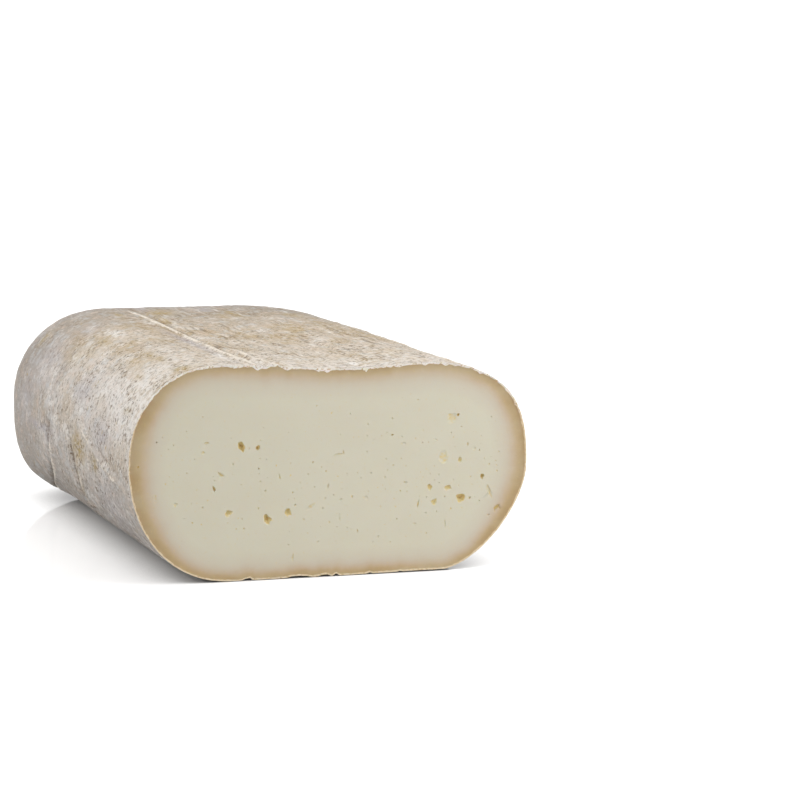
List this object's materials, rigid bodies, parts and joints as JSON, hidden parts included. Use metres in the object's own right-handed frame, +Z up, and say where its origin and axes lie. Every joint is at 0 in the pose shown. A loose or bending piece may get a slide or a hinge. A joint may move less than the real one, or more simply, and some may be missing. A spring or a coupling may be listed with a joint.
{
  "type": "half loaf cheese",
  "caption": "Half of an oblong natural-rind loaf cheese lying flat, with a flat cut face that shows small eyes and a rounded far end.",
  "frame": {"origin": "under the middle of the loaf, on the surface it rests on", "axes": "+Z up; Y along the loaf's length, with the cut face at -Y and the rounded end at +Y; +X to the right as the cut face is seen"},
  "size_m": [0.14, 0.232, 0.0735],
  "materials": {
    "cheese": "matte"
  },
  "bodies": {
    "root": {"cheese_half": "cheese"}
  },
  "joints": []
}
